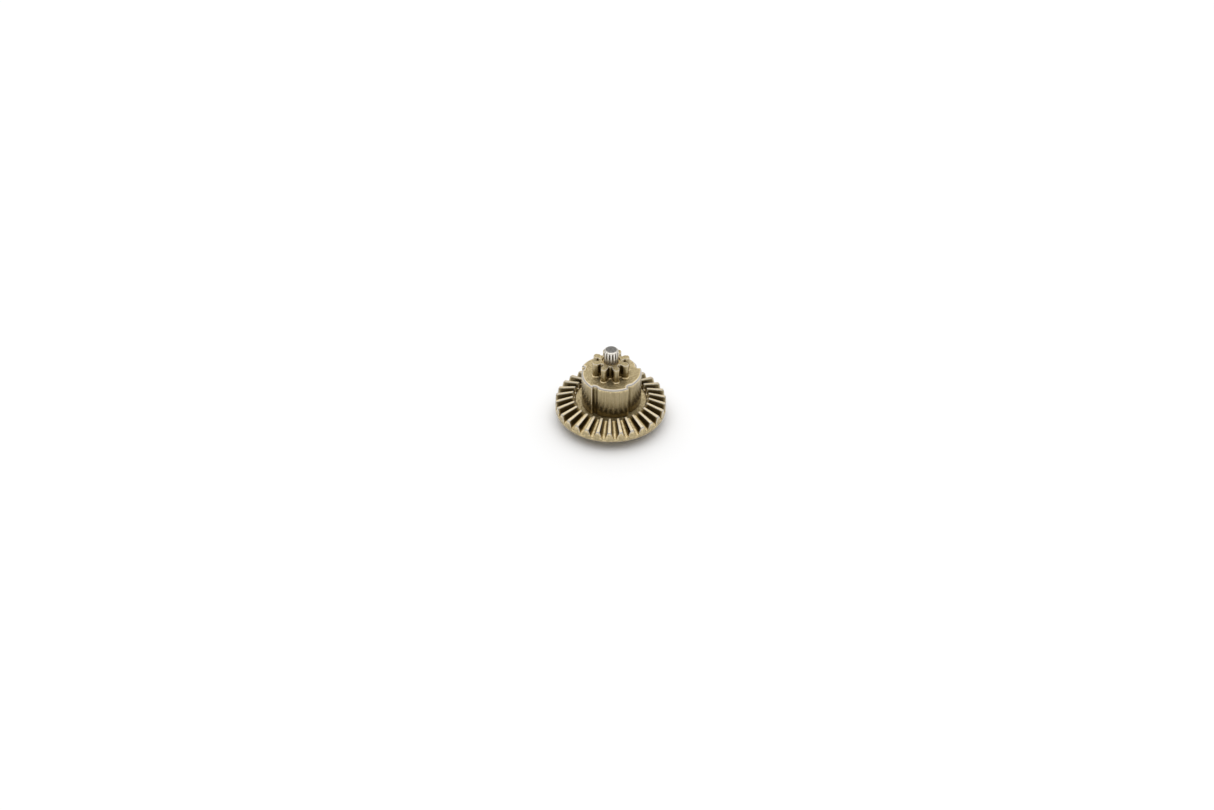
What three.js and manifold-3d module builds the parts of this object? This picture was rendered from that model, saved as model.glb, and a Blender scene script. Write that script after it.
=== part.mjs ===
// Crown bevel gear with a ratchet drum and a spur pinion on it, turning on a fixed axle.
//
// Units are millimetres and +Z is up along the axle. The origin is the centre of the
// axle's lower end. Angles are in degrees, from -Y towards +X, anticlockwise from above.

import * as THREE from 'three';
import { mergeVertices } from 'three/addons/utils/BufferGeometryUtils.js';
import Module from 'manifold-3d';

// Axle: a pin with a thrust collar low down and a serrated upper end.
const AXLE_RADIUS = 1.5;
const AXLE_LENGTH = 17.2;
const AXLE_TOP_CHAMFER = 0.34;
const AXLE_TOP_CHAMFER_HEIGHT = 0.25;
const AXLE_FOOT_CHAMFER = 0.2;
const COLLAR_RADIUS = 2.4;
const COLLAR_BOTTOM = 1.1;
const COLLAR_TOP = 1.7;
const SERRATIONS = 14;
const SERRATION_DEPTH = 0.15;
const SERRATION_FOOT = 14.3;

// Crown bevel gear. All its tooth lines meet at the apex, where the mating pinion's axis
// crosses the axle.
const BEVEL_MODULE = 0.75;
const BEVEL_TEETH = 30;
const MATE_TEETH = 10;
const BEVEL_PHASE = -1.2;
const PRESSURE_ANGLE = 20;
const BEVEL_ADDENDUM = 0.55;
const BEVEL_DEDENDUM = 0.94;
const BEVEL_BACKLASH = 0.1;
const PITCH_HEIGHT = 4.0;
const HEEL_RADIUS = 11.49;
const TOE_RADIUS = 7.9;
const TOE_FOOT_RADIUS = 7.3;
const WEB_TOP = 4.3;
const CROWN_BACK = 2.1;
const CROWN_BACK_CHAMFER = 0.15;
const BOSS_RADIUS = 5.0;
const BOSS_BOTTOM = 1.75;

// Ratchet drum: five shallow teeth whose faces look anticlockwise, a relief after each.
const RATCHET_TEETH = 5;
const RATCHET_PHASE = -37;
const RATCHET_HIGH = 6.4;
const RATCHET_LOW = 5.95;
const STEP_DRAFT = 0.5;
const RELIEF_WIDTH = 0.95;
const RELIEF_DEPTH = 0.28;
const DRUM_TOP = 11.4;
const DRUM_CHAMFER = 0.36;

// Spur pinion, whose teeth run down through the drum and the crown.
const SPUR_MODULE = 0.8;
const SPUR_TEETH = 8;
const SPUR_SHIFT = 0.25;
const SPUR_PHASE = 18.8;
const SPUR_TIP_RADIUS = 3.92;
const SPUR_ROOT_RADIUS = 2.28;
const PINION_TOP = 14.55;

// Bushes in the two ends of the pinion's bore.
const BUSH_OUTER = 1.87;
const BUSH_INNER = 1.53;
const BUSH_LENGTH = 3.0;
const UPPER_BUSH_DEPTH = 0.35;
const LOWER_BUSH_DEPTH = 0.1;
const BORE_RADIUS = 1.7;

// Gaps between neighbouring pieces, and the smoothness of the round shapes.
const SEAT_GAP = 0.02;
const TOOTH_GAP = 0.03;
const RIM_SEGMENTS = 120;
const BORE_SEGMENTS = 48;
const OVERRUN = 1;

const wasm = await Module();
wasm.setup();

const radians = THREE.MathUtils.degToRad;

function polar(radius, degrees) {
  const angle = radians(degrees);
  return new THREE.Vector2(radius * Math.sin(angle), -radius * Math.cos(angle));
}

// Turns a closed three.js geometry into a solid that can be cut and joined.
function solidOf(geometry) {
  const bare = geometry.clone();
  bare.deleteAttribute('normal');
  bare.deleteAttribute('uv');
  const merged = mergeVertices(bare, 1e-5);
  const index = merged.index.array;
  const triangles = [];
  for (let i = 0; i < index.length; i += 3) {
    const [a, b, c] = index.slice(i, i + 3);
    if (a !== b && b !== c && c !== a) {
      triangles.push(a, b, c);
    }
  }
  const mesh = new wasm.Mesh({
    numProp: 3,
    vertProperties: new Float32Array(merged.attributes.position.array),
    triVerts: new Uint32Array(triangles),
  });
  return new wasm.Manifold(mesh);
}

// A turned solid about the axle. The profile is a list of [radius, height].
function turned(profile, segments) {
  const points = profile.map(([radius, height]) => new THREE.Vector2(radius, height));
  const geometry = new THREE.LatheGeometry(points, segments);
  geometry.rotateX(Math.PI / 2);
  return solidOf(geometry);
}

function prism(outline, bottom, top) {
  const shape = new THREE.Shape(outline);
  const geometry = new THREE.ExtrudeGeometry(shape, { depth: top - bottom, bevelEnabled: false });
  geometry.translate(0, 0, bottom);
  return solidOf(geometry);
}

function axleSolid() {
  const endRadius = AXLE_RADIUS - AXLE_TOP_CHAMFER;
  let axle = turned([
    [0, 0],
    [AXLE_RADIUS - AXLE_FOOT_CHAMFER, 0],
    [AXLE_RADIUS, AXLE_FOOT_CHAMFER],
    [AXLE_RADIUS, COLLAR_BOTTOM],
    [COLLAR_RADIUS, COLLAR_BOTTOM],
    [COLLAR_RADIUS, COLLAR_TOP],
    [AXLE_RADIUS, COLLAR_TOP],
    [AXLE_RADIUS, AXLE_LENGTH - AXLE_TOP_CHAMFER_HEIGHT],
    [endRadius, AXLE_LENGTH],
    [0, AXLE_LENGTH],
  ], BORE_SEGMENTS);
  const pitch = 360 / SERRATIONS;
  for (let k = 0; k < SERRATIONS; k += 1) {
    const middle = (k + 0.5) * pitch;
    const groove = [
      polar(AXLE_RADIUS - SERRATION_DEPTH, middle),
      polar(AXLE_RADIUS + SERRATION_DEPTH, middle + 0.75 * pitch),
      polar(AXLE_RADIUS + SERRATION_DEPTH, middle - 0.75 * pitch),
    ].reverse();
    axle = axle.subtract(prism(groove, SERRATION_FOOT, AXLE_LENGTH + OVERRUN));
  }
  return axle;
}

// The bevel cone: heights of the pitch, face and root lines at a radius from the axle.
const PITCH_RADIUS = BEVEL_MODULE * BEVEL_TEETH / 2;
const PITCH_SLOPE = MATE_TEETH / BEVEL_TEETH;
const CONE_DISTANCE = PITCH_RADIUS * Math.hypot(1, PITCH_SLOPE);
const APEX_HEIGHT = PITCH_HEIGHT + PITCH_RADIUS * PITCH_SLOPE;
const PITCH_ANGLE = Math.atan(PITCH_SLOPE);
const FACE_SLOPE = Math.tan(PITCH_ANGLE - Math.atan(BEVEL_ADDENDUM / CONE_DISTANCE));
const ROOT_SLOPE = Math.tan(PITCH_ANGLE + Math.atan(BEVEL_DEDENDUM / CONE_DISTANCE));

function coneHeight(slope, radius) {
  return APEX_HEIGHT - slope * radius;
}

// The space between two bevel teeth: a trapezium at the pitch radius, shrunk towards the
// apex along its whole length.
function bevelSpace() {
  const halfPitch = PITCH_RADIUS * Math.tan(Math.PI / BEVEL_TEETH);
  const flankSlope = Math.tan(radians(PRESSURE_ANGLE));
  const root = coneHeight(ROOT_SLOPE, PITCH_RADIUS);
  const top = coneHeight(FACE_SLOPE, PITCH_RADIUS) + BEVEL_MODULE / 2;
  const halfAtPitch = (halfPitch + BEVEL_BACKLASH) / 2;
  const halfWidth = (height) => halfAtPitch + (height - PITCH_HEIGHT) * flankSlope;
  const section = new THREE.Shape([
    new THREE.Vector2(-halfWidth(root), root),
    new THREE.Vector2(halfWidth(root), root),
    new THREE.Vector2(halfWidth(top), top),
    new THREE.Vector2(-halfWidth(top), top),
  ]);
  const inner = TOE_RADIUS - OVERRUN;
  const outer = HEEL_RADIUS + OVERRUN;
  const geometry = new THREE.ExtrudeGeometry(section, { depth: outer - inner, bevelEnabled: false });
  const position = geometry.attributes.position;
  for (let i = 0; i < position.count; i += 1) {
    const radius = inner + position.getZ(i);
    const scale = radius / PITCH_RADIUS;
    const across = position.getX(i) * scale;
    const height = APEX_HEIGHT + (position.getY(i) - APEX_HEIGHT) * scale;
    position.setXYZ(i, across, -radius, height);
  }
  return solidOf(geometry);
}

function crownSolid() {
  let crown = turned([
    [0, BOSS_BOTTOM],
    [BOSS_RADIUS, BOSS_BOTTOM],
    [BOSS_RADIUS, CROWN_BACK],
    [HEEL_RADIUS - CROWN_BACK_CHAMFER, CROWN_BACK],
    [HEEL_RADIUS, CROWN_BACK + CROWN_BACK_CHAMFER],
    [HEEL_RADIUS, coneHeight(FACE_SLOPE, HEEL_RADIUS)],
    [TOE_RADIUS, coneHeight(FACE_SLOPE, TOE_RADIUS)],
    [TOE_FOOT_RADIUS, WEB_TOP],
    [0, WEB_TOP],
  ], RIM_SEGMENTS);
  const space = bevelSpace();
  for (let k = 0; k < BEVEL_TEETH; k += 1) {
    const degrees = BEVEL_PHASE + (k + 0.5) * 360 / BEVEL_TEETH;
    crown = crown.subtract(space.rotate([0, 0, degrees]));
  }
  const hole = prism(spurOutline(TOOTH_GAP), BOSS_BOTTOM - OVERRUN, WEB_TOP + OVERRUN);
  return crown.subtract(hole);
}

// The ratchet's outline: for each tooth a step in, a rounded relief, and a long ramp out to
// the next step. An inset draws the same outline evenly inwards, which shapes the chamfer.
function ratchetOutline(inset) {
  const points = [];
  const pitch = 360 / RATCHET_TEETH;
  const high = RATCHET_HIGH - inset;
  const low = RATCHET_LOW - inset;
  const rampSteps = 12;
  const reliefSteps = 8;
  const reliefAngle = THREE.MathUtils.radToDeg((RELIEF_WIDTH + 2 * inset) / low);
  const setBack = THREE.MathUtils.radToDeg(inset / high);
  for (let k = 0; k < RATCHET_TEETH; k += 1) {
    const step = RATCHET_PHASE + k * pitch - setBack;
    points.push(polar(high, step - STEP_DRAFT));
    for (let i = 0; i <= reliefSteps; i += 1) {
      const sweep = Math.PI * i / reliefSteps;
      const turn = (1 - Math.cos(sweep)) / 2;
      const radius = low - RELIEF_DEPTH * Math.sin(sweep);
      points.push(polar(radius, step + turn * reliefAngle));
    }
    for (let i = 1; i < rampSteps; i += 1) {
      const turn = i / rampSteps;
      const radius = THREE.MathUtils.lerp(low, high, turn);
      const angle = THREE.MathUtils.lerp(reliefAngle, pitch - STEP_DRAFT, turn);
      points.push(polar(radius, step + angle));
    }
  }
  return points;
}

// A solid through outlines of equal length at rising heights, closed at both ends by a fan
// from the axis. It is a turned shape whose rings are moved onto the outlines.
function lofted(levels) {
  const ends = [0, ...levels.map(() => 1), 0];
  const profile = ends.map((radius, i) => new THREE.Vector2(radius, i));
  const count = levels[0].outline.length;
  const geometry = new THREE.LatheGeometry(profile, count);
  const position = geometry.attributes.position;
  const last = levels.length - 1;
  for (let i = 0; i < position.count; i += 1) {
    const row = i % profile.length;
    const level = levels[THREE.MathUtils.clamp(row - 1, 0, last)];
    const point = level.outline[Math.floor(i / profile.length) % count];
    const reach = ends[row];
    position.setXYZ(i, point.x * reach, point.y * reach, level.height);
  }
  return solidOf(geometry);
}

function drumSolid() {
  const bottom = WEB_TOP + SEAT_GAP;
  const drum = lofted([
    { outline: ratchetOutline(0), height: bottom },
    { outline: ratchetOutline(0), height: DRUM_TOP - DRUM_CHAMFER },
    { outline: ratchetOutline(DRUM_CHAMFER), height: DRUM_TOP },
  ]);
  return drum.subtract(prism(spurOutline(TOOTH_GAP), bottom - OVERRUN, DRUM_TOP + OVERRUN));
}

// The spur pinion's outline: involute flanks, straight below the base circle, and a round
// bottom. The outline can be grown evenly, which shapes the holes that the teeth pass through.
function spurOutline(grow) {
  const pitchRadius = SPUR_MODULE * SPUR_TEETH / 2;
  const pressure = radians(PRESSURE_ANGLE);
  const baseRadius = pitchRadius * Math.cos(pressure);
  const involute = (angle) => Math.tan(angle) - angle;
  const shiftedThickness = SPUR_MODULE * (Math.PI / 2 + 2 * SPUR_SHIFT * Math.tan(pressure));
  const halfAtPitch = shiftedThickness / 2 / pitchRadius;
  const halfAngle = (radius) => {
    const flank = Math.acos(Math.min(1, baseRadius / radius));
    return halfAtPitch + involute(pressure) - involute(flank);
  };
  const flankSteps = 4;
  const bottomSteps = 4;
  const tipRadius = SPUR_TIP_RADIUS + grow;
  const spaceHalf = Math.PI / SPUR_TEETH - halfAngle(baseRadius);
  const bottomRadius = baseRadius * Math.sin(spaceHalf);
  const bottomCentre = SPUR_ROOT_RADIUS + bottomRadius;
  const points = [];
  for (let k = 0; k < SPUR_TEETH; k += 1) {
    const middle = SPUR_PHASE + k * 360 / SPUR_TEETH;
    const flank = [];
    for (let i = 0; i <= flankSteps; i += 1) {
      const radius = THREE.MathUtils.lerp(baseRadius, tipRadius, i / flankSteps);
      const half = halfAngle(radius) + grow / radius;
      flank.push([radius, THREE.MathUtils.radToDeg(half)]);
    }
    for (const [radius, half] of flank) {
      points.push(polar(radius, middle - half));
    }
    for (const [radius, half] of flank.reverse()) {
      points.push(polar(radius, middle + half));
    }
    const axis = polar(1, middle + 180 / SPUR_TEETH);
    const across = new THREE.Vector2(-axis.y, axis.x);
    for (let i = 0; i <= bottomSteps; i += 1) {
      const turn = Math.PI * i / bottomSteps;
      const reach = bottomRadius - grow;
      const point = axis.clone().multiplyScalar(bottomCentre - reach * Math.sin(turn));
      points.push(point.addScaledVector(across, -reach * Math.cos(turn)));
    }
  }
  return points;
}

function pinionSolid() {
  const seat = BUSH_OUTER + SEAT_GAP;
  const upperSeat = PINION_TOP - UPPER_BUSH_DEPTH - BUSH_LENGTH - SEAT_GAP;
  const lowerSeat = BOSS_BOTTOM + LOWER_BUSH_DEPTH + BUSH_LENGTH + SEAT_GAP;
  const bore = turned([
    [0, BOSS_BOTTOM - OVERRUN],
    [seat, BOSS_BOTTOM - OVERRUN],
    [seat, lowerSeat],
    [BORE_RADIUS, lowerSeat],
    [BORE_RADIUS, upperSeat],
    [seat, upperSeat],
    [seat, PINION_TOP + OVERRUN],
    [0, PINION_TOP + OVERRUN],
  ], BORE_SEGMENTS);
  return prism(spurOutline(0), BOSS_BOTTOM, PINION_TOP).subtract(bore);
}

function bushSolid(bottom) {
  const top = bottom + BUSH_LENGTH;
  return turned([
    [BUSH_OUTER, bottom],
    [BUSH_OUTER, top],
    [BUSH_INNER, top],
    [BUSH_INNER, bottom],
    [BUSH_OUTER, bottom],
  ], BORE_SEGMENTS);
}

const GEAR_STEEL = { color: 0x8a7a5a, roughness: 0.4, metalness: 1 };
const BUSH_BRONZE = { color: 0xb89a62, roughness: 0.35, metalness: 1 };
const AXLE_STEEL = { color: 0x8c8882, roughness: 0.25, metalness: 1 };

function addPiece(group, name, solid, finish) {
  const { vertProperties, triVerts } = solid.getMesh();
  const geometry = new THREE.BufferGeometry();
  geometry.setAttribute('position', new THREE.BufferAttribute(vertProperties, 3));
  geometry.setIndex(new THREE.BufferAttribute(triVerts, 1));
  geometry.computeVertexNormals();
  const mesh = new THREE.Mesh(geometry, new THREE.MeshStandardMaterial(finish));
  mesh.name = name;
  group.add(mesh);
}

const gear = new THREE.Group();
addPiece(gear, 'axle', axleSolid(), AXLE_STEEL);
addPiece(gear, 'bevel_crown', crownSolid(), GEAR_STEEL);
addPiece(gear, 'ratchet_drum', drumSolid(), GEAR_STEEL);
addPiece(gear, 'spur_pinion', pinionSolid(), GEAR_STEEL);
addPiece(gear, 'upper_bush', bushSolid(PINION_TOP - UPPER_BUSH_DEPTH - BUSH_LENGTH), BUSH_BRONZE);
addPiece(gear, 'lower_bush', bushSolid(BOSS_BOTTOM + LOWER_BUSH_DEPTH), BUSH_BRONZE);

export default gear;
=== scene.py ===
# The looks of a crown bevel gear with a ratchet drum and a spur pinion, turning on an axle.
#
# Shapes are worked out in millimetres about the axle, +Z up from its lower end, and become
# metres when a mesh is made. Angles are in degrees, from -Y towards +X.

import math

import bpy
from mathutils import Matrix, Vector
from mathutils.geometry import tessellate_polygon


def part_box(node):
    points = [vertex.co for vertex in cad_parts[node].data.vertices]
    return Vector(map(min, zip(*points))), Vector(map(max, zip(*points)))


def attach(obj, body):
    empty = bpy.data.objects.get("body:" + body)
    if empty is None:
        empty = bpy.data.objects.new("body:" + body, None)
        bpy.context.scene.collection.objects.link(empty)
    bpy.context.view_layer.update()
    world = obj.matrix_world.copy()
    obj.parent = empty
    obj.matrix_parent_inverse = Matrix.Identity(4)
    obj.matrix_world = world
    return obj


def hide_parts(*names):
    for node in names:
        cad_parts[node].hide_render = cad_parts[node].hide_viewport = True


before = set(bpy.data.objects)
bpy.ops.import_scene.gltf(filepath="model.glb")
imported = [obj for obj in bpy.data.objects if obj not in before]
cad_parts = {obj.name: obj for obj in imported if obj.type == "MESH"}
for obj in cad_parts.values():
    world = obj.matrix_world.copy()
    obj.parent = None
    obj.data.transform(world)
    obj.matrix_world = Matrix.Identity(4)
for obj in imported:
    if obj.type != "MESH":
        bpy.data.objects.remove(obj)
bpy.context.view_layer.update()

MM = 0.001


def bottom(node):
    """The height of a CAD node's underside."""
    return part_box(node)[0].z / MM


def top(node):
    """The height of a CAD node's top."""
    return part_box(node)[1].z / MM


def reach(node):
    """The largest radius of a CAD node."""
    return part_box(node)[1].x / MM


# Axle.
AXLE_RADIUS = 1.5
AXLE_LENGTH = top("axle")
AXLE_TOP_CHAMFER = 0.34
AXLE_TOP_CHAMFER_HEIGHT = 0.25
AXLE_FOOT_CHAMFER = 0.2
COLLAR_RADIUS = reach("axle")
COLLAR_BOTTOM = 1.1
COLLAR_TOP = 1.7
SERRATIONS = 14
SERRATION_FOOT = 14.3
SERRATION_LEAD_IN = 0.25
SERRATION_DEPTH = 0.17
SERRATION_TOP_DEPTH = 0.08
SERRATION_RUN_OUT = 1.3
SERRATION_CREST = 0.3
SERRATION_COLUMNS = 12
SERRATION_LOW_WEAR_AND_SHADE = 0.25
GROOVE_PAINTED_SHADE_GAIN = 1.8
RUBBED_FROM = 15.35
RUBBED_FULLY = 15.75
AXLE_EDGE_WEAR = 0.8
AXLE_CHAMFER_WEAR = 0.6
AXLE_END_WEAR = 0.9
AXLE_CORE_RADIUS = 0.4

# Crown bevel gear.
BEVEL_MODULE = 0.75
BEVEL_TEETH = 30
MATE_TEETH = 10
BEVEL_PHASE = -1.2
PRESSURE_ANGLE = 20
BEVEL_ADDENDUM = 0.55
BEVEL_DEDENDUM = 0.94
BEVEL_BACKLASH = 0.1
PITCH_HEIGHT = 4.0
HEEL_RADIUS = reach("bevel_crown")
TOE_RADIUS = 7.9
TOE_FOOT_RADIUS = 7.3
WEB_TOP = 4.3
CROWN_BACK = 2.1
CROWN_BACK_CHAMFER = 0.15
BOSS_RADIUS = 5.0
BOSS_BOTTOM = bottom("bevel_crown")
CROWN_CENTRE_RADIUS = 4.5
CROWN_FLANK_SHADE = -0.85
LAND_WEAR = 0.55
ROOT_PAINTED_SHEEN = 0.34
TOE_WEAR = 0.8
HEEL_WEAR = 0.9
HEEL_FACE_PAINTED_SHEEN = 0.16
RIM_WEAR = 0.6
RIM_CHAMFER_PAINTED_HIGHLIGHT = 0.5

# Ratchet drum.
RATCHET_TEETH = 5
RATCHET_PHASE = -37
RATCHET_HIGH = 6.4
RATCHET_LOW = 5.95
STEP_DRAFT = 0.5
RELIEF_WIDTH = 0.95
RELIEF_DEPTH = 0.28
RELIEF_SHADE = -0.9
STEP_WEAR = 0.6
DRUM_FOOT_SHADE = -0.75
DRUM_BOTTOM = bottom("ratchet_drum")
DRUM_TOP = top("ratchet_drum")
DRUM_ROUND = 0.38
DRUM_WEAR_MARGIN = 0.12
DRUM_FOOT_CHAMFER = 0.05

# Spur pinion.
SPUR_MODULE = 0.8
SPUR_TEETH = 8
SPUR_SHIFT = 0.25
SPUR_PHASE = 18.8
SPUR_TIP_RADIUS = 3.92
SPUR_ROOT_RADIUS = 2.28
PINION_BOTTOM = bottom("spur_pinion")
PINION_TOP = top("spur_pinion")
PINION_ROUND = 0.1
PINION_WEAR_MARGIN = 0.04
PINION_FILLET = 0.2
FLANK_SHADE = -0.5
TIP_WEAR = 0.15
WALL_SHADE = -0.35
FILLET_PAINTED_GLINT = 0.38
FILLET_FOOT_PAINTED_GLINT = 0.2

# Bushes and the pinion's bore.
BUSH_OUTER = reach("upper_bush")
BUSH_INNER = 1.53
BUSH_ROUND = 0.08
BORE_RADIUS = 1.7
BORE_CHAMFER = 0.03
BORE_TOP_WEAR = 0.7
BORE_BOTTOM_WEAR = 0.5

SEAT_GAP = 0.02
TOOTH_GAP = 0.03
CURVE_STEPS = 4
ROUND_STEPS = 6
BORE_SEGMENTS = 96
SHARP_ANGLE = 38


# Curves. A point on a curve comes with its wear and painted light: 1 on an edge that has been
# rubbed bright, 0 on a plain surface, and down to -1 where shade is painted on flanks, in
# hollows and at the foot of walls. Values above 0 on some fillets, tooth roots, heel faces and
# the rim's chamfer paint highlights and sheens there.

def polar(radius, degrees):
    angle = math.radians(degrees)
    return Vector((radius * math.sin(angle), -radius * math.cos(angle)))


def mix(a, b, t):
    return a + (b - a) * t


def between(a, b, parts, rubbed_and_painted_light):
    """The inner points that cut the straight line from a to b into equal parts."""
    return [(a.lerp(b, i / parts), rubbed_and_painted_light) for i in range(1, parts)]


def plain(outline):
    """The same outline with no wear and no painted light on it."""
    return [(point, 0.0) for point, _ in outline]


def both(a, b):
    """The wear and painted light of a place with two causes: the brighter one wins, and painted
    shades add up.
    """
    return max(a, b) if max(a, b) > 0 else max(a + b, -1.0)


def rounded(before, corner, after, ease, rubbed_and_painted_light):
    """A curve in place of a corner. It starts and ends at the distance ease from it, and its
    wear and painted light are strongest in its middle."""
    start = corner + (before - corner).normalized() * ease
    end = corner + (after - corner).normalized() * ease
    points = []
    for i in range(CURVE_STEPS + 1):
        t = i / CURVE_STEPS
        point = start.lerp(corner, t).lerp(corner.lerp(end, t), t)
        points.append((point, rubbed_and_painted_light * (1 - 0.85 * (2 * t - 1) ** 2)))
    return points


def softened(chain, corners, stretches):
    """A chain of points with its inner corners rounded: each corner is (ease, wear and painted
    light), and each straight stretch is (equal parts that it is cut into, wear and painted
    light)."""
    points = [(chain[0], stretches[0][1])]
    for i, (ease, rubbed_and_painted_light) in enumerate(corners):
        curve = rounded(chain[i], chain[i + 1], chain[i + 2], ease, rubbed_and_painted_light)
        points += between(points[-1][0], curve[0][0], *stretches[i])
        points += curve
    points += between(points[-1][0], chain[-1], *stretches[-1])
    return points + [(chain[-1], stretches[-1][1])]


def circle(radius):
    return [(polar(radius, 360 * i / BORE_SEGMENTS), 0.0) for i in range(BORE_SEGMENTS)]


# Meshes.

class Skin:
    """Rings of points in millimetres about the axle, joined into one closed mesh."""

    def __init__(self):
        self.points = []
        self.wear_and_painted_light = []
        self.faces = []

    def ring(self, outline, height, wear_and_painted_light=0.0):
        """Adds a level outline of (point, wear and painted light), with the wear and painted
        light of its level as well.
        """
        return self.loop([((p.x, p.y, height), both(rubbed_and_painted_light, wear_and_painted_light)) for p, rubbed_and_painted_light in outline])

    def loop(self, points):
        """Adds points of (place, wear and painted light), and returns their numbers in order."""
        first = len(self.points)
        for place, rubbed_and_painted_light in points:
            self.points.append(Vector(place) * MM)
            self.wear_and_painted_light.append(rubbed_and_painted_light)
        return list(range(first, len(self.points)))

    def band(self, below, above):
        """Faces between two rings of as many points. They look outwards when above is higher."""
        count = len(below)
        for i in range(count):
            j = (i + 1) % count
            self.faces.append((below[i], below[j], above[j], above[i]))

    def bands(self, rings):
        """Joins each ring to the next."""
        for below, above in zip(rings, rings[1:]):
            self.band(below, above)

    def fan(self, ring, height, upward):
        """Closes a ring with triangles to a point on the axis."""
        (centre,) = self.loop([((0, 0, height), 0.0)])
        for a, b in zip(ring, ring[1:] + ring[:1]):
            self.faces.append((a, b, centre) if upward else (b, a, centre))

    def plate(self, outer, inner, upward):
        """A flat face between an outer ring and an inner one of any number of points."""
        rings = [[self.points[i] for i in ring] for ring in (outer, inner)]
        places = outer + inner
        for triangle in tessellate_polygon(rings):
            a, b, c = (places[i] for i in triangle)
            side = (self.points[b] - self.points[a]).cross(self.points[c] - self.points[a])
            self.faces.append((a, b, c) if (side.z > 0) == upward else (a, c, b))

    def piece(self, name, node, body, slot, material):
        """The mesh as a Blender object that stands for a CAD node and rides on its body."""
        mesh = bpy.data.meshes.new(name)
        mesh.from_pydata(self.points, [], self.faces)
        wear_and_painted_light = mesh.attributes.new("wear_and_painted_light", "FLOAT", "POINT")
        wear_and_painted_light.data.foreach_set("value", self.wear_and_painted_light)
        mesh.shade_smooth()
        mesh.set_sharp_from_angle(angle=math.radians(SHARP_ANGLE))
        mesh.materials.append(material)
        mesh.validate()
        piece = bpy.data.objects.new(name, mesh)
        bpy.context.scene.collection.objects.link(piece)
        normals = piece.modifiers.new("face_weighted_normals", "WEIGHTED_NORMAL")
        normals.keep_sharp = True
        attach(piece, body)
        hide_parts(node)
        return piece


# Spur pinion: involute flanks, worn tip corners and a round bottom, with painted shade on the
# lower flanks and the bottoms and a little in the middle of each tip. An outline can be grown
# evenly, or shrunk with a negative growth.

def spur_outline(grow):
    pitch_radius = SPUR_MODULE * SPUR_TEETH / 2
    pressure = math.radians(PRESSURE_ANGLE)
    base_radius = pitch_radius * math.cos(pressure)
    thickness = SPUR_MODULE * (math.pi / 2 + 2 * SPUR_SHIFT * math.tan(pressure))
    tip_radius = SPUR_TIP_RADIUS + grow
    tip_ease = 0.2
    flank_steps = 8
    bottom_steps = 10

    def half_angle(radius):
        flank = math.acos(min(1, base_radius / radius))
        involute = math.tan(pressure) - pressure - math.tan(flank) + flank
        return math.degrees(thickness / 2 / pitch_radius + involute + grow / radius)

    space_half = math.radians(180 / SPUR_TEETH - half_angle(base_radius)) + grow / base_radius
    bottom_radius = base_radius * math.sin(space_half)
    bottom_centre = SPUR_ROOT_RADIUS + bottom_radius
    tip_half = half_angle(tip_radius)
    points = []
    for k in range(SPUR_TEETH):
        middle = SPUR_PHASE + k * 360 / SPUR_TEETH
        for side in (-1, 1):
            flank = []
            for i in range(flank_steps):
                radius = mix(base_radius, tip_radius - tip_ease, i / (flank_steps - 1))
                # Painted shade on the flank, darkest at its foot.
                shade = mix(FLANK_SHADE, 0.0, i / (flank_steps - 1))
                flank.append((polar(radius, middle + side * half_angle(radius)), shade))
            corner = polar(tip_radius, middle + side * tip_half)
            land = polar(tip_radius, middle)
            flank += rounded(flank[-1][0], corner, land, tip_ease, TIP_WEAR)[1:]
            # The middle of the tip gets half the flank's painted shade.
            points += flank if side < 0 else [(land, FLANK_SHADE / 2)] + flank[::-1]
        axis = polar(1, middle + 180 / SPUR_TEETH)
        across = Vector((-axis.y, axis.x))
        # The round bottom between two teeth gets the flank's full painted shade.
        for i in range(bottom_steps + 1):
            turn = math.pi * i / bottom_steps
            span = bottom_radius - grow
            point = axis * (bottom_centre - span * math.sin(turn))
            points.append((point - across * span * math.cos(turn), FLANK_SHADE))
    return points


def quarter(ease, start):
    """A quarter round of radius ease that starts upright at the height start and leans in:
    (height, inset, wear) from bottom to top."""
    levels = []
    for i in range(ROUND_STEPS + 1):
        turn = math.pi / 2 * i / ROUND_STEPS
        rubbed_and_painted_light = 1 - 0.75 * (2 * i / ROUND_STEPS - 1) ** 2
        levels.append((start + ease * math.sin(turn), ease * (1 - math.cos(turn)), rubbed_and_painted_light))
    return levels


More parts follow.
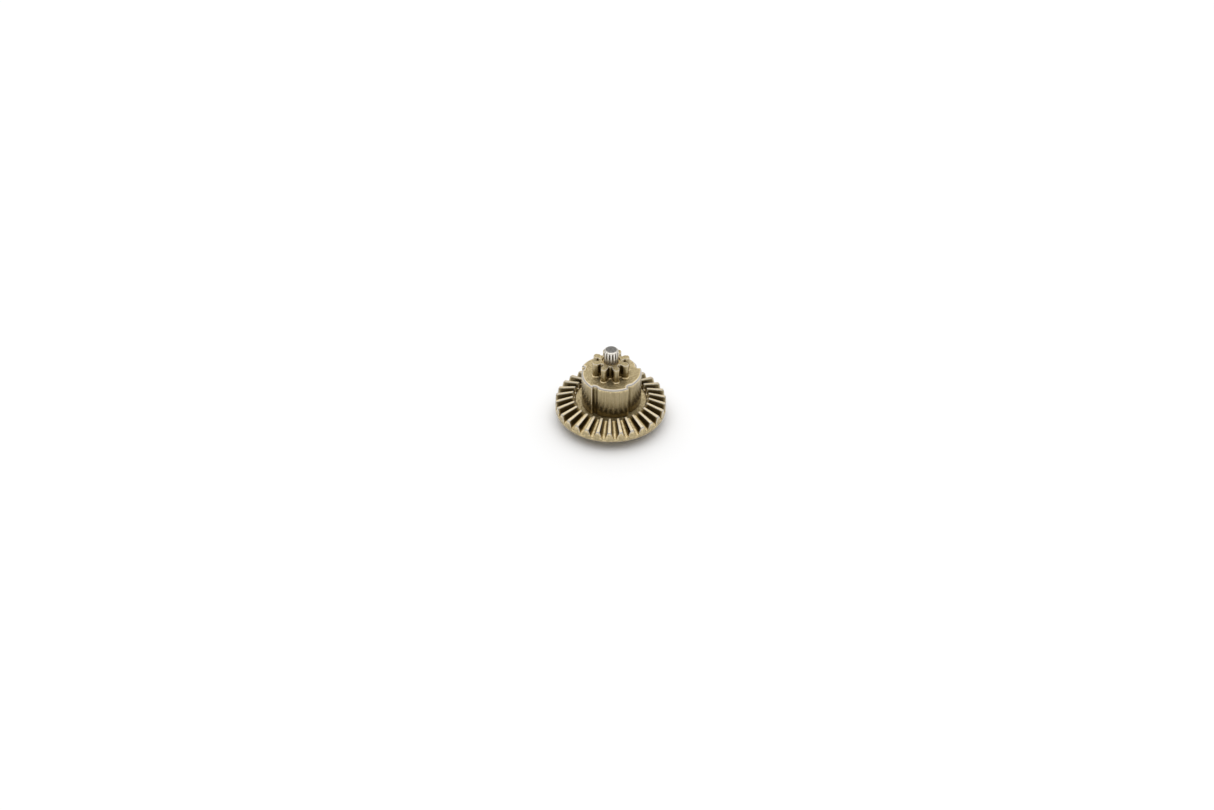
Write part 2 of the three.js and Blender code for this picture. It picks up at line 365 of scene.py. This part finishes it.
def pinion_piece(material):
    skin = Skin()
    bottom_edge = [
        (2 * PINION_BOTTOM + PINION_ROUND - height, inset, rubbed_and_painted_light)
        for height, inset, rubbed_and_painted_light in reversed(quarter(PINION_ROUND, PINION_BOTTOM))
    ]
    above_drum = DRUM_TOP + SEAT_GAP
    # The fillet at the teeth's feet gets a painted golden glint.
    fillet = [(DRUM_TOP - SEAT_GAP, 0, 0), (above_drum, -PINION_FILLET, FILLET_FOOT_PAINTED_GLINT)]
    for i in range(1, ROUND_STEPS + 1):
        turn = math.pi / 2 * i / ROUND_STEPS
        height = above_drum + PINION_FILLET * (1 - math.cos(turn))
        fillet.append((height, -PINION_FILLET * (1 - math.sin(turn)), FILLET_PAINTED_GLINT))
    wall_foot = fillet[-1][0]
    wall_top = PINION_TOP - PINION_ROUND
    wall_parts = 6
    # Painted shade on the teeth's walls, darkest at the foot and gone near the top.
    wall = [(wall_foot + PINION_ROUND, 0, WALL_SHADE)]
    for i in range(1, wall_parts):
        share = i / wall_parts
        wall.append((mix(wall_foot, wall_top, share), 0, WALL_SHADE * (1 - share)))
    levels = bottom_edge + fillet + wall + quarter(PINION_ROUND, wall_top)
    outside = [skin.ring(spur_outline(-inset), height, rubbed_and_painted_light) for height, inset, rubbed_and_painted_light in levels]
    skin.bands(outside)
    seat = BUSH_OUTER + SEAT_GAP
    upper_seat = bottom("upper_bush") - SEAT_GAP
    lower_seat = top("lower_bush") + SEAT_GAP
    inside = [
        skin.ring(circle(radius), height, rubbed_and_painted_light)
        for radius, height, rubbed_and_painted_light in (
            (seat + 2 * BORE_CHAMFER, PINION_TOP, 0),
            (seat + BORE_CHAMFER, PINION_TOP, BORE_TOP_WEAR),
            (seat, PINION_TOP - BORE_CHAMFER, BORE_TOP_WEAR),
            (seat, PINION_TOP - 3 * BORE_CHAMFER, 0),
            (seat, upper_seat, 0),
            (BORE_RADIUS, upper_seat, 0),
            (BORE_RADIUS, lower_seat, 0),
            (seat, lower_seat, 0),
            (seat, PINION_BOTTOM + BORE_CHAMFER, BORE_BOTTOM_WEAR),
            (seat + BORE_CHAMFER, PINION_BOTTOM, BORE_BOTTOM_WEAR),
        )
    ]
    skin.bands(inside)
    plain_top = skin.ring(plain(spur_outline(-PINION_ROUND - PINION_WEAR_MARGIN)), PINION_TOP)
    skin.band(outside[-1], plain_top)
    skin.plate(plain_top, inside[0], upward=True)
    skin.plate(outside[0], inside[-1], upward=False)
    return skin.piece("pinion_surface", "spur_pinion", "gear", "gear_steel", material)


# Ratchet drum: for each tooth a step in, a rounded relief and a long ramp out to the next
# step. An inset draws the same outline evenly inwards.

def ratchet_outline(inset):
    points = []
    pitch = 360 / RATCHET_TEETH
    high = RATCHET_HIGH - inset
    low = RATCHET_LOW - inset
    ramp_steps = 26
    relief_steps = 14
    step_ease = 0.16
    step_foot_wear = 0.1
    exit_ease = 0.2
    ramp_start = 0.03
    ramp_end = 0.97
    relief_angle = math.degrees((RELIEF_WIDTH + 2 * inset) / low)
    set_back = math.degrees(inset / high)
    step_foot = low + 0.25 * (high - low)

    def ramp(step, turn):
        angle = mix(relief_angle, pitch - STEP_DRAFT, turn)
        return polar(mix(low, high, turn), step + angle)

    for k in range(RATCHET_TEETH):
        step = RATCHET_PHASE + k * pitch - set_back
        crest = polar(high, step - STEP_DRAFT)
        foot = polar(low, step)
        points += rounded(ramp(step - pitch, ramp_end), crest, foot, step_ease, STEP_WEAR)
        points.append((polar(step_foot, step - 0.2 * STEP_DRAFT), step_foot_wear))
        exit_corner = ramp(step, 0)
        for i in range(relief_steps):
            sweep = math.pi * i / relief_steps
            turn = (1 - math.cos(sweep)) / 2
            radius = low - RELIEF_DEPTH * math.sin(sweep)
            # Painted shade in the relief, a little lighter in its deepest part.
            shade = RELIEF_SHADE * (1 - 0.6 * math.sin(sweep) ** 4)
            point = polar(radius, step + turn * relief_angle)
            if (exit_corner - point).length > 1.1 * exit_ease:
                points.append((point, shade))
        points += rounded(points[-1][0], exit_corner, ramp(step, 0.05), exit_ease, 0)
        for i in range(1, ramp_steps):
            points.append((ramp(step, mix(ramp_start, ramp_end, i / ramp_steps)), 0.0))
    return points


def drum_piece(material):
    skin = Skin()
    wall_top = DRUM_TOP - DRUM_ROUND
    # Painted shade at the foot of the wall, fading out halfway up.
    foot = [
        (DRUM_BOTTOM, DRUM_FOOT_CHAMFER, DRUM_FOOT_SHADE),
        (DRUM_BOTTOM + DRUM_FOOT_CHAMFER, 0, DRUM_FOOT_SHADE),
    ]
    wall_parts = 10
    wall = []
    for i in range(1, wall_parts):
        share = i / wall_parts
        shade = DRUM_FOOT_SHADE * max(0, 1 - 2 * share)
        wall.append((mix(foot[-1][0], wall_top, share), 0, shade))
    levels = foot + wall + quarter(DRUM_ROUND, wall_top)
    outside = [skin.ring(ratchet_outline(inset), height, rubbed_and_painted_light) for height, inset, rubbed_and_painted_light in levels]
    skin.bands(outside)
    hole = plain(spur_outline(TOOTH_GAP))
    hole_top = skin.ring(hole, DRUM_TOP)
    hole_foot = skin.ring(hole, DRUM_BOTTOM)
    skin.band(hole_top, hole_foot)
    plain_top = skin.ring(plain(ratchet_outline(DRUM_ROUND + DRUM_WEAR_MARGIN)), DRUM_TOP)
    skin.band(outside[-1], plain_top)
    skin.plate(plain_top, hole_top, upward=True)
    skin.plate(outside[0], hole_foot, upward=False)
    return skin.piece("drum_surface", "ratchet_drum", "gear", "gear_steel", material)


# Crown bevel gear: columns of points that run out from the axle, each at its own angle. Every
# column keeps its place in the tooth's section, which shrinks towards the apex.

PITCH_RADIUS = BEVEL_MODULE * BEVEL_TEETH / 2
PITCH_SLOPE = MATE_TEETH / BEVEL_TEETH
CONE_DISTANCE = PITCH_RADIUS * math.hypot(1, PITCH_SLOPE)
APEX_HEIGHT = PITCH_HEIGHT + PITCH_RADIUS * PITCH_SLOPE
PITCH_ANGLE = math.atan(PITCH_SLOPE)
FACE_SLOPE = math.tan(PITCH_ANGLE - math.atan(BEVEL_ADDENDUM / CONE_DISTANCE))
ROOT_SLOPE = math.tan(PITCH_ANGLE + math.atan(BEVEL_DEDENDUM / CONE_DISTANCE))


def cone_height(slope, radius):
    return APEX_HEIGHT - slope * radius


def tooth_section():
    """One tooth at the pitch radius, from the middle of a space to the next: (point, wear and
    painted light) with the distance along the pitch circle and the height. Its flanks get
    painted shade and its roots a painted sheen."""
    half_pitch = PITCH_RADIUS * math.tan(math.pi / BEVEL_TEETH)
    flank_slope = math.tan(math.radians(PRESSURE_ANGLE))
    root_height = cone_height(ROOT_SLOPE, PITCH_RADIUS)
    face_height = cone_height(FACE_SLOPE, PITCH_RADIUS)

    def space_half(height):
        return (half_pitch + BEVEL_BACKLASH) / 2 + (height - PITCH_HEIGHT) * flank_slope

    pitch = 2 * half_pitch
    root_edge = space_half(root_height)
    face_edge = space_half(face_height)
    chain = [
        Vector((0, root_height)),
        Vector((root_edge, root_height)),
        Vector((face_edge, face_height)),
        Vector((pitch - face_edge, face_height)),
        Vector((pitch - root_edge, root_height)),
        Vector((pitch, root_height)),
    ]
    # The roots get a painted gold sheen and the flanks painted shade; the lands are worn.
    root_corner = (0.15, ROOT_PAINTED_SHEEN)
    land_corner = (0.13, 1)
    corners = [root_corner, land_corner, land_corner, root_corner]
    root = (2, ROOT_PAINTED_SHEEN)
    flank = (7, CROWN_FLANK_SHADE)
    land = (3, LAND_WEAR)
    return softened(chain, corners, [root, flank, land, flank, root])


def crown_column(height, rubbed_and_painted_light):
    """The line of (point, wear and painted light) at one place of the tooth section, whose
    height at the
    pitch radius is given: over the web, up the toe, along the tooth, down the heel and back
    under. The heel face gets a painted sheen and the rim's chamfer a painted highlight."""
    slope = (APEX_HEIGHT - height) / PITCH_RADIUS
    above_root = height - cone_height(ROOT_SLOPE, PITCH_RADIUS)
    heel_wear = HEEL_WEAR * min(1, above_root / BEVEL_MODULE)
    toe_top = cone_height(FACE_SLOPE, TOE_RADIUS)
    toe_slope = (toe_top - WEB_TOP) / (TOE_RADIUS - TOE_FOOT_RADIUS)
    toe_foot_rise = APEX_HEIGHT - WEB_TOP + toe_slope * TOE_FOOT_RADIUS
    toe = toe_foot_rise / (toe_slope + slope)
    chain = [
        Vector((CROWN_CENTRE_RADIUS, WEB_TOP)),
        Vector((TOE_FOOT_RADIUS, WEB_TOP)),
        Vector((toe, cone_height(slope, toe))),
        Vector((HEEL_RADIUS, cone_height(slope, HEEL_RADIUS))),
        Vector((HEEL_RADIUS, CROWN_BACK + CROWN_BACK_CHAMFER)),
        Vector((HEEL_RADIUS - CROWN_BACK_CHAMFER, CROWN_BACK)),
        Vector((BOSS_RADIUS, CROWN_BACK)),
        Vector((BOSS_RADIUS, BOSS_BOTTOM)),
        Vector((CROWN_CENTRE_RADIUS, BOSS_BOTTOM)),
    ]
    corners = [
        (0.12, 0),  # the foot of the toe
        (0.12, TOE_WEAR),  # from the toe onto the tooth
        (0.22, heel_wear),  # from the tooth down the heel
        (0.1, RIM_WEAR),  # from the heel into the back's chamfer
        (0.05, RIM_WEAR),  # from the chamfer onto the back
        (0.1, 0),  # the foot of the boss
        (0.08, RIM_WEAR),  # the boss's edge
    ]
    web = (4, 0)
    toe_face = (1, 0)
    tooth = (8, 0)
    # A painted gold sheen on the heel face and a painted highlight on the rim's chamfer.
    heel_face = (3, HEEL_FACE_PAINTED_SHEEN)
    chamfer = (2, RIM_CHAMFER_PAINTED_HIGHLIGHT)
    back = (6, 0)
    boss = (1, 0)
    stretches = [web, toe_face, tooth, heel_face, chamfer, back, boss, boss]
    column = softened(chain, corners, stretches)
    # From the toe's upper corner to the heel's, the wear and painted light of the section count
    # too.
    toe_start = web[0] + toe_face[0] + CURVE_STEPS
    heel_end = toe_start + tooth[0] + 2 * CURVE_STEPS + 1
    toothed = range(toe_start, heel_end)
    return [
        (point, both(wear_and_painted_light, rubbed_and_painted_light) if i in toothed else wear_and_painted_light)
        for i, (point, wear_and_painted_light) in enumerate(column)
    ]


def crown_piece(material):
    skin = Skin()
    section = tooth_section()[:-1]
    columns = [crown_column(point.y, rubbed_and_painted_light) for point, rubbed_and_painted_light in section]
    pitch = 360 / BEVEL_TEETH
    rings = []
    for row in range(len(columns[0])):
        points = []
        for k in range(BEVEL_TEETH):
            space = BEVEL_PHASE + (k + 0.5) * pitch
            for (across, _), column in zip(section, columns):
                place, rubbed_and_painted_light = column[row]
                angle = space + math.degrees(math.atan2(across.x, PITCH_RADIUS))
                level = polar(place.x, angle)
                points.append(((level.x, level.y, place.y), rubbed_and_painted_light))
        rings.append(skin.loop(points))
    skin.bands(rings[::-1])
    hole = plain(spur_outline(TOOTH_GAP))
    hole_top = skin.ring(hole, WEB_TOP)
    hole_foot = skin.ring(hole, BOSS_BOTTOM)
    skin.band(hole_top, hole_foot)
    skin.plate(rings[0], hole_top, upward=True)
    skin.plate(rings[-1], hole_foot, upward=False)
    return skin.piece("crown_surface", "bevel_crown", "gear", "gear_steel", material)


# Axle and bushes.

def serration_depth(height):
    """How deep the grooves are at a height: deepest low down, and shallow at the chamfer."""
    foot_end = SERRATION_FOOT + SERRATION_LEAD_IN
    chamfer = AXLE_LENGTH - AXLE_TOP_CHAMFER_HEIGHT
    run_out = chamfer - SERRATION_RUN_OUT
    if height <= SERRATION_FOOT:
        return 0
    if height <= foot_end:
        return mix(0, SERRATION_DEPTH, (height - SERRATION_FOOT) / SERRATION_LEAD_IN)
    if height <= run_out:
        return SERRATION_DEPTH
    if height <= chamfer:
        return mix(SERRATION_DEPTH, SERRATION_TOP_DEPTH, (height - run_out) / SERRATION_RUN_OUT)
    return SERRATION_TOP_DEPTH * (AXLE_LENGTH - height) / AXLE_TOP_CHAMFER_HEIGHT


def axle_ring(skin, radius, height, rubbed_and_painted_light):
    """A ring of the axle, drawn in along the grooves between the serrations. The crests are
    rubbed bright and the grooves get painted shade, both less so low down."""
    depth = serration_depth(height)
    ridged = SERRATION_FOOT < height < AXLE_LENGTH - AXLE_TOP_CHAMFER_HEIGHT
    rubbed = min(1, max(0, (height - RUBBED_FROM) / (RUBBED_FULLY - RUBBED_FROM)))
    points = []
    for i in range(SERRATIONS * SERRATION_COLUMNS):
        share = i / SERRATION_COLUMNS
        groove = abs((share + 0.5) % 1 - 0.5) * 2
        groove = max(0, groove - SERRATION_CREST) / (1 - SERRATION_CREST)
        shape = mix(groove, groove * groove * (3 - 2 * groove), 0.5)
        # The crests are worn bright and the grooves get painted shade.
        crest = mix(1, -1, min(1, GROOVE_PAINTED_SHADE_GAIN * shape))
        rubbing_and_groove_shade = mix(SERRATION_LOW_WEAR_AND_SHADE * crest, crest, rubbed) if ridged else 0
        level = polar(radius - depth * shape, share * 360 / SERRATIONS)
        points.append(((level.x, level.y, height), both(rubbed_and_painted_light, rubbing_and_groove_shade)))
    return skin.loop(points)


def axle_piece(material):
    skin = Skin()
    chamfer_foot = AXLE_LENGTH - AXLE_TOP_CHAMFER_HEIGHT
    end_radius = AXLE_RADIUS - AXLE_TOP_CHAMFER
    chain = [
        Vector((AXLE_CORE_RADIUS, 0)),
        Vector((AXLE_RADIUS - AXLE_FOOT_CHAMFER, 0)),
        Vector((AXLE_RADIUS, AXLE_FOOT_CHAMFER)),
        Vector((AXLE_RADIUS, COLLAR_BOTTOM)),
        Vector((COLLAR_RADIUS, COLLAR_BOTTOM)),
        Vector((COLLAR_RADIUS, COLLAR_TOP)),
        Vector((AXLE_RADIUS, COLLAR_TOP)),
        Vector((AXLE_RADIUS, SERRATION_FOOT)),
        Vector((AXLE_RADIUS, chamfer_foot)),
        Vector((end_radius, AXLE_LENGTH)),
        Vector((AXLE_CORE_RADIUS, AXLE_LENGTH)),
    ]
    corners = [
        (0.05, AXLE_EDGE_WEAR),  # the edges of the foot's chamfer
        (0.05, AXLE_EDGE_WEAR),
        (0.05, 0),  # where the collar starts
        (0.08, AXLE_EDGE_WEAR),  # the collar's edges
        (0.08, AXLE_EDGE_WEAR),
        (0.05, 0),  # where the collar ends
        (0.01, 0),  # where the serrations start
        (0.06, AXLE_END_WEAR),  # the edges of the top chamfer
        (0.03, AXLE_END_WEAR),
    ]
    plain_parts = [3, 1, 2, 1, 2, 1, 4]
    serrated = (20, 0)
    chamfer = (3, AXLE_CHAMFER_WEAR)
    end_face = (5, 0)
    stretches = [(parts, 0) for parts in plain_parts] + [serrated, chamfer, end_face]
    profile = softened(chain, corners, stretches)
    rings = [axle_ring(skin, place.x, place.y, rubbed_and_painted_light) for place, rubbed_and_painted_light in profile]
    skin.bands(rings)
    skin.fan(rings[0], 0, upward=False)
    skin.fan(rings[-1], AXLE_LENGTH, upward=True)
    return skin.piece("axle_surface", "axle", "axle", "axle_steel", material)


def bush_piece(name, node, material):
    skin = Skin()
    low, high = bottom(node), top(node)
    middle = (BUSH_OUTER + BUSH_INNER) / 2
    chain = [
        Vector((middle, low)),
        Vector((BUSH_OUTER, low)),
        Vector((BUSH_OUTER, high)),
        Vector((BUSH_INNER, high)),
        Vector((BUSH_INNER, low)),
        Vector((middle, low)),
    ]
    stretches = [(1, 0), (3, 0), (1, 0), (3, 0), (1, 0)]
    profile = softened(chain, [(BUSH_ROUND, 1)] * 4, stretches)[:-1]
    rings = [skin.ring(circle(place.x), place.y, rubbed_and_painted_light) for place, rubbed_and_painted_light in profile]
    skin.bands(rings + rings[:1])
    return skin.piece(name, node, "gear", "bush_bronze", material)


# Materials: bare metal with a sandy grain, a tint that varies, lines left by tools, and
# edges rubbed smooth and bright, with painted shade in flanks, grooves and hollows, and painted
# highlights and sheens on some fillets, roots and faces.

class Finish:
    """A material's node tree, built one node at a time."""

    def __init__(self, name):
        self.material = bpy.data.materials.new(name)
        self.material.use_nodes = True
        self.tree = self.material.node_tree
        self.shader = self.tree.nodes["Principled BSDF"]
        coordinates = self.node("ShaderNodeTexCoord")
        self.place = coordinates.outputs["Object"]
        self.facing = coordinates.outputs["Normal"]

    def node(self, kind, **settings):
        node = self.tree.nodes.new(kind)
        for key, value in settings.items():
            setattr(node, key, value)
        return node

    def feed(self, socket, value):
        if isinstance(value, bpy.types.NodeSocket):
            self.tree.links.new(value, socket)
        else:
            socket.default_value = value

    def stretched(self, scale):
        mapping = self.node("ShaderNodeMapping")
        self.feed(mapping.inputs["Vector"], self.place)
        self.feed(mapping.inputs["Scale"], scale)
        return mapping.outputs["Vector"]

    def noise(self, size, detail=2.0, vector=None):
        """Noise from 0 to 1 with features of a size in millimetres."""
        noise = self.node("ShaderNodeTexNoise")
        self.feed(noise.inputs["Vector"], vector or self.place)
        self.feed(noise.inputs["Scale"], 1 / (size * MM))
        self.feed(noise.inputs["Detail"], detail)
        return noise.outputs["Fac"]

    def math(self, operation, *values):
        node = self.node("ShaderNodeMath", operation=operation)
        for socket, value in zip(node.inputs, values):
            self.feed(socket, value)
        return node.outputs[0]

    def range(self, value, low, high, new_low=0.0, new_high=1.0):
        node = self.node("ShaderNodeMapRange", interpolation_type="SMOOTHSTEP")
        for socket, number in zip(node.inputs, (value, low, high, new_low, new_high)):
            self.feed(socket, number)
        return node.outputs["Result"]

    def blend(self, factor, a, b):
        node = self.node("ShaderNodeMix", data_type="RGBA")
        self.feed(node.inputs["Factor"], factor)
        self.feed(node.inputs["A"], (*a, 1) if isinstance(a, tuple) else a)
        self.feed(node.inputs["B"], (*b, 1) if isinstance(b, tuple) else b)
        return node.outputs["Result"]

    def level(self):
        """How level the surface is: 0 on an upright wall and 1 on a flat top or underside."""
        parts = self.node("ShaderNodeSeparateXYZ")
        self.feed(parts.inputs[0], self.facing)
        return self.math("ABSOLUTE", parts.outputs["Z"])

    def wear_and_painted_light(self, patchiness):
        """How bright rubbed edges and painted highlights are, how warm their borders and painted
        sheens are, and how much painted shade a place gets, each from 0 to 1, from the attribute
        of wear and painted light, broken up a little by noise."""
        attribute = self.node("ShaderNodeAttribute", attribute_name="wear_and_painted_light")
        patches = self.math("MULTIPLY_ADD", self.noise(0.4), patchiness, -patchiness / 2)
        rubbed_and_painted_light = self.math("ADD", attribute.outputs["Fac"], patches)
        bright = self.range(rubbed_and_painted_light, 0.3, 0.68)
        warm_border_and_painted_sheen = self.range(rubbed_and_painted_light, 0.05, 0.45)
        return bright, warm_border_and_painted_sheen, self.range(rubbed_and_painted_light, -0.9, 0.05, 1.0, 0.0)

    def surface(self, colour, roughness, normal):
        """Feeds a bare metal surface, and returns the finished material."""
        self.feed(self.shader.inputs["Base Color"], colour)
        self.feed(self.shader.inputs["Metallic"], 1.0)
        self.feed(self.shader.inputs["Roughness"], roughness)
        self.feed(self.shader.inputs["Normal"], normal)
        return self.material

    def bump(self, height, depth, normal=None):
        """The normal after a relief whose height runs from 0 to 1 over depth millimetres."""
        node = self.node("ShaderNodeBump")
        self.feed(node.inputs["Distance"], depth * MM)
        self.feed(node.inputs["Height"], height)
        if normal is not None:
            self.feed(node.inputs["Normal"], normal)
        return node.outputs["Normal"]


def gear_steel():
    """Sintered steel, sandy and tinted gold on its level faces, with upright tool lines on its
    walls. Its edges are worn silver, with a warmer tone beside the silver. Painted shade darkens
    its flanks, reliefs and the foot of the drum, and painted gold sheens and silver highlights
    brighten fillets, roots, heel faces and the rim's chamfer."""
    sand_dark = (0.25, 0.19, 0.09)
    sand_light = (0.59, 0.495, 0.305)
    sand_cloud = (0.3, 0.24, 0.12)
    wall_light = (0.4, 0.33, 0.195)
    wall_dark = (0.31, 0.25, 0.14)
    painted_shade_colour = (0.12, 0.09, 0.042)
    warm_edge_and_painted_sheen = (0.84, 0.68, 0.385)
    worn_edge_and_painted_highlight = (0.56, 0.525, 0.47)
    finish = Finish("gear_steel")
    grain = finish.noise(0.26, detail=3.0)
    clouds = finish.noise(2.5)
    lines = finish.noise(0.35, vector=finish.stretched((1, 1, 0.04)))
    level = finish.level()
    sand = finish.blend(finish.range(grain, 0.36, 0.64), sand_dark, sand_light)
    sand = finish.blend(finish.range(clouds, 0.3, 0.7, 0.0, 0.25), sand, sand_cloud)
    wall = finish.blend(finish.range(lines, 0.35, 0.7), wall_light, wall_dark)
    colour = finish.blend(finish.range(level, 0.2, 0.8), wall, sand)
    rubbed_and_painted_light, warm_border_and_painted_sheen, painted_shade = finish.wear_and_painted_light(0.7)
    # Painted shade on flanks, reliefs and the foot of the drum's wall.
    colour = finish.blend(painted_shade, colour, painted_shade_colour)
    # Warm borders beside worn edges, and a painted gold sheen on roots, heel faces and fillets.
    colour = finish.blend(warm_border_and_painted_sheen, colour, warm_edge_and_painted_sheen)
    # Worn silver edges, and painted highlights on the fillets and the rim's chamfer.
    colour = finish.blend(rubbed_and_painted_light, colour, worn_edge_and_painted_highlight)
    roughness = finish.range(level, 0.5, 0.95, 0.27, 0.5)
    grain_relief = finish.math("MULTIPLY", grain, finish.range(level, 0.2, 0.8, 0.25, 1.0))
    normal = finish.bump(grain_relief, 0.026)
    normal = finish.bump(lines, 0.012, normal)
    return finish.surface(colour, roughness, normal)


def axle_steel():
    """Hard grey steel: a dull sawn-off end with turned rings, and bright rubbed ridges with
    painted shade in the grooves between them.
    """
    sawn_dark = (0.1, 0.097, 0.09)
    sawn_light = (0.215, 0.208, 0.196)
    drawn_dark = (0.46, 0.42, 0.34)
    drawn_light = (0.62, 0.57, 0.48)
    painted_shade_colour = (0.075, 0.066, 0.05)
    worn_edge_and_painted_highlight = (0.84, 0.81, 0.76)
    ring_pitch = 0.16
    finish = Finish("axle_steel")
    grain = finish.noise(0.3, detail=3.0)
    flat = finish.node("ShaderNodeVectorMath", operation="MULTIPLY")
    finish.feed(flat.inputs[0], finish.place)
    finish.feed(flat.inputs[1], (1, 1, 0))
    radius = finish.node("ShaderNodeVectorMath", operation="LENGTH")
    finish.feed(radius.inputs[0], flat.outputs["Vector"])
    turns = finish.math("MULTIPLY", radius.outputs["Value"], 2 * math.pi / (ring_pitch * MM))
    rings = finish.math("SINE", turns)
    sawn = finish.math("MULTIPLY_ADD", rings, 0.12, grain)
    sawn = finish.blend(finish.range(sawn, 0.35, 0.65), sawn_dark, sawn_light)
    drawn = finish.blend(finish.range(grain, 0.3, 0.7), drawn_dark, drawn_light)
    colour = finish.blend(finish.range(finish.level(), 0.9, 0.98), drawn, sawn)
    rubbed_and_painted_light, _, painted_shade = finish.wear_and_painted_light(0.2)
    # Painted shade in the grooves between the serrations.
    colour = finish.blend(painted_shade, colour, painted_shade_colour)
    colour = finish.blend(rubbed_and_painted_light, colour, worn_edge_and_painted_highlight)
    roughness = finish.range(rubbed_and_painted_light, 0.0, 1.0, 0.42, 0.2)
    normal = finish.bump(grain, 0.012)
    normal = finish.bump(rings, 0.0015, normal)
    return finish.surface(colour, roughness, normal)


def bush_bronze():
    """Porous oiled bronze, darker in its pores and bright where it is rubbed."""
    pore = (0.3, 0.21, 0.09)
    bronze = (0.62, 0.48, 0.24)
    worn_edge_and_painted_highlight = (0.9, 0.72, 0.38)
    finish = Finish("bush_bronze")
    pores = finish.noise(0.22, detail=3.0)
    colour = finish.blend(finish.range(pores, 0.35, 0.65), pore, bronze)
    rubbed_and_painted_light, _, _ = finish.wear_and_painted_light(0.3)
    colour = finish.blend(rubbed_and_painted_light, colour, worn_edge_and_painted_highlight)
    roughness = finish.range(rubbed_and_painted_light, 0.0, 1.0, 0.38, 0.24)
    return finish.surface(colour, roughness, finish.bump(pores, 0.02))


# Studio: a white floor under a white tent that is brightest overhead, and the camera.

CAMERA_ELEVATION = 38.1
CAMERA_ROLL = 0.5
CAMERA_DISTANCE = 491.67
CAMERA_LENS = 70
CAMERA_ASIDE = -0.771
CAMERA_RISE = 2.229
FLOOR_SIZE = 4000
FLOOR_WHITE = 0.95
FLOOR_ROUGHNESS = 0.9
TENT_BRIGHT_SIDE = (0, 0.25, 0.97)
TENT_SPREAD = (0.3, 1.0)
TENT_DIM = 0.38
TENT_BRIGHT = 1.7
TENT_SEEN = 0.9


def floor_piece():
    half = FLOOR_SIZE / 2 * MM
    mesh = bpy.data.meshes.new("floor")
    corners = [(-half, -half, 0), (half, -half, 0), (half, half, 0), (-half, half, 0)]
    mesh.from_pydata(corners, [], [(0, 1, 2, 3)])
    material = bpy.data.materials.new("white_sweep")
    material.use_nodes = True
    shader = material.node_tree.nodes["Principled BSDF"]
    shader.inputs["Base Color"].default_value = (FLOOR_WHITE, FLOOR_WHITE, FLOOR_WHITE, 1)
    shader.inputs["Roughness"].default_value = FLOOR_ROUGHNESS
    shader.inputs["Specular IOR Level"].default_value = 0.0
    mesh.materials.append(material)
    floor = bpy.data.objects.new("floor", mesh)
    bpy.context.scene.collection.objects.link(floor)


def tent():
    """A white tent, brightest overhead and a little behind the object, and dim low down.
    Where the camera sees past the floor, the tent is plain and pale."""
    world = bpy.data.worlds.new("tent")
    world.use_nodes = True
    tree = world.node_tree
    direction = tree.nodes.new("ShaderNodeTexCoord").outputs["Generated"]
    towards = tree.nodes.new("ShaderNodeVectorMath")
    towards.operation = "DOT_PRODUCT"
    towards.inputs[1].default_value = Vector(TENT_BRIGHT_SIDE).normalized()
    tree.links.new(direction, towards.inputs[0])
    glow = tree.nodes.new("ShaderNodeMapRange")
    glow.interpolation_type = "SMOOTHSTEP"
    for socket, number in zip(glow.inputs[1:5], (*TENT_SPREAD, TENT_DIM, TENT_BRIGHT)):
        socket.default_value = number
    tree.links.new(towards.outputs["Value"], glow.inputs[0])
    seen = tree.nodes.new("ShaderNodeLightPath").outputs["Is Camera Ray"]
    strength = tree.nodes.new("ShaderNodeMix")
    strength.inputs["B"].default_value = TENT_SEEN
    tree.links.new(seen, strength.inputs["Factor"])
    tree.links.new(glow.outputs["Result"], strength.inputs["A"])
    tree.links.new(strength.outputs["Result"], tree.nodes["Background"].inputs["Strength"])
    tree.nodes["Background"].inputs["Color"].default_value = (1, 1, 1, 1)
    bpy.context.scene.world = world


def camera():
    data = bpy.data.cameras.new("camera")
    data.lens = CAMERA_LENS
    data.sensor_width = 36
    data.clip_start = 0.01
    eye = bpy.data.objects.new("camera", data)
    tilt = Matrix.Rotation(math.radians(90 - CAMERA_ELEVATION), 4, "X")
    roll = Matrix.Rotation(math.radians(CAMERA_ROLL), 4, "Z")
    place = Vector((CAMERA_ASIDE, CAMERA_RISE, CAMERA_DISTANCE)) * MM
    eye.matrix_world = tilt @ Matrix.Translation(place) @ roll
    bpy.context.scene.collection.objects.link(eye)
    bpy.context.scene.camera = eye


gear_finish = gear_steel()
bush_finish = bush_bronze()
axle_piece(axle_steel())
crown_piece(gear_finish)
drum_piece(gear_finish)
pinion_piece(gear_finish)
bush_piece("upper_bush_surface", "upper_bush", bush_finish)
bush_piece("lower_bush_surface", "lower_bush", bush_finish)
floor_piece()
tent()
camera()
bpy.context.scene.view_settings.view_transform = "Standard"
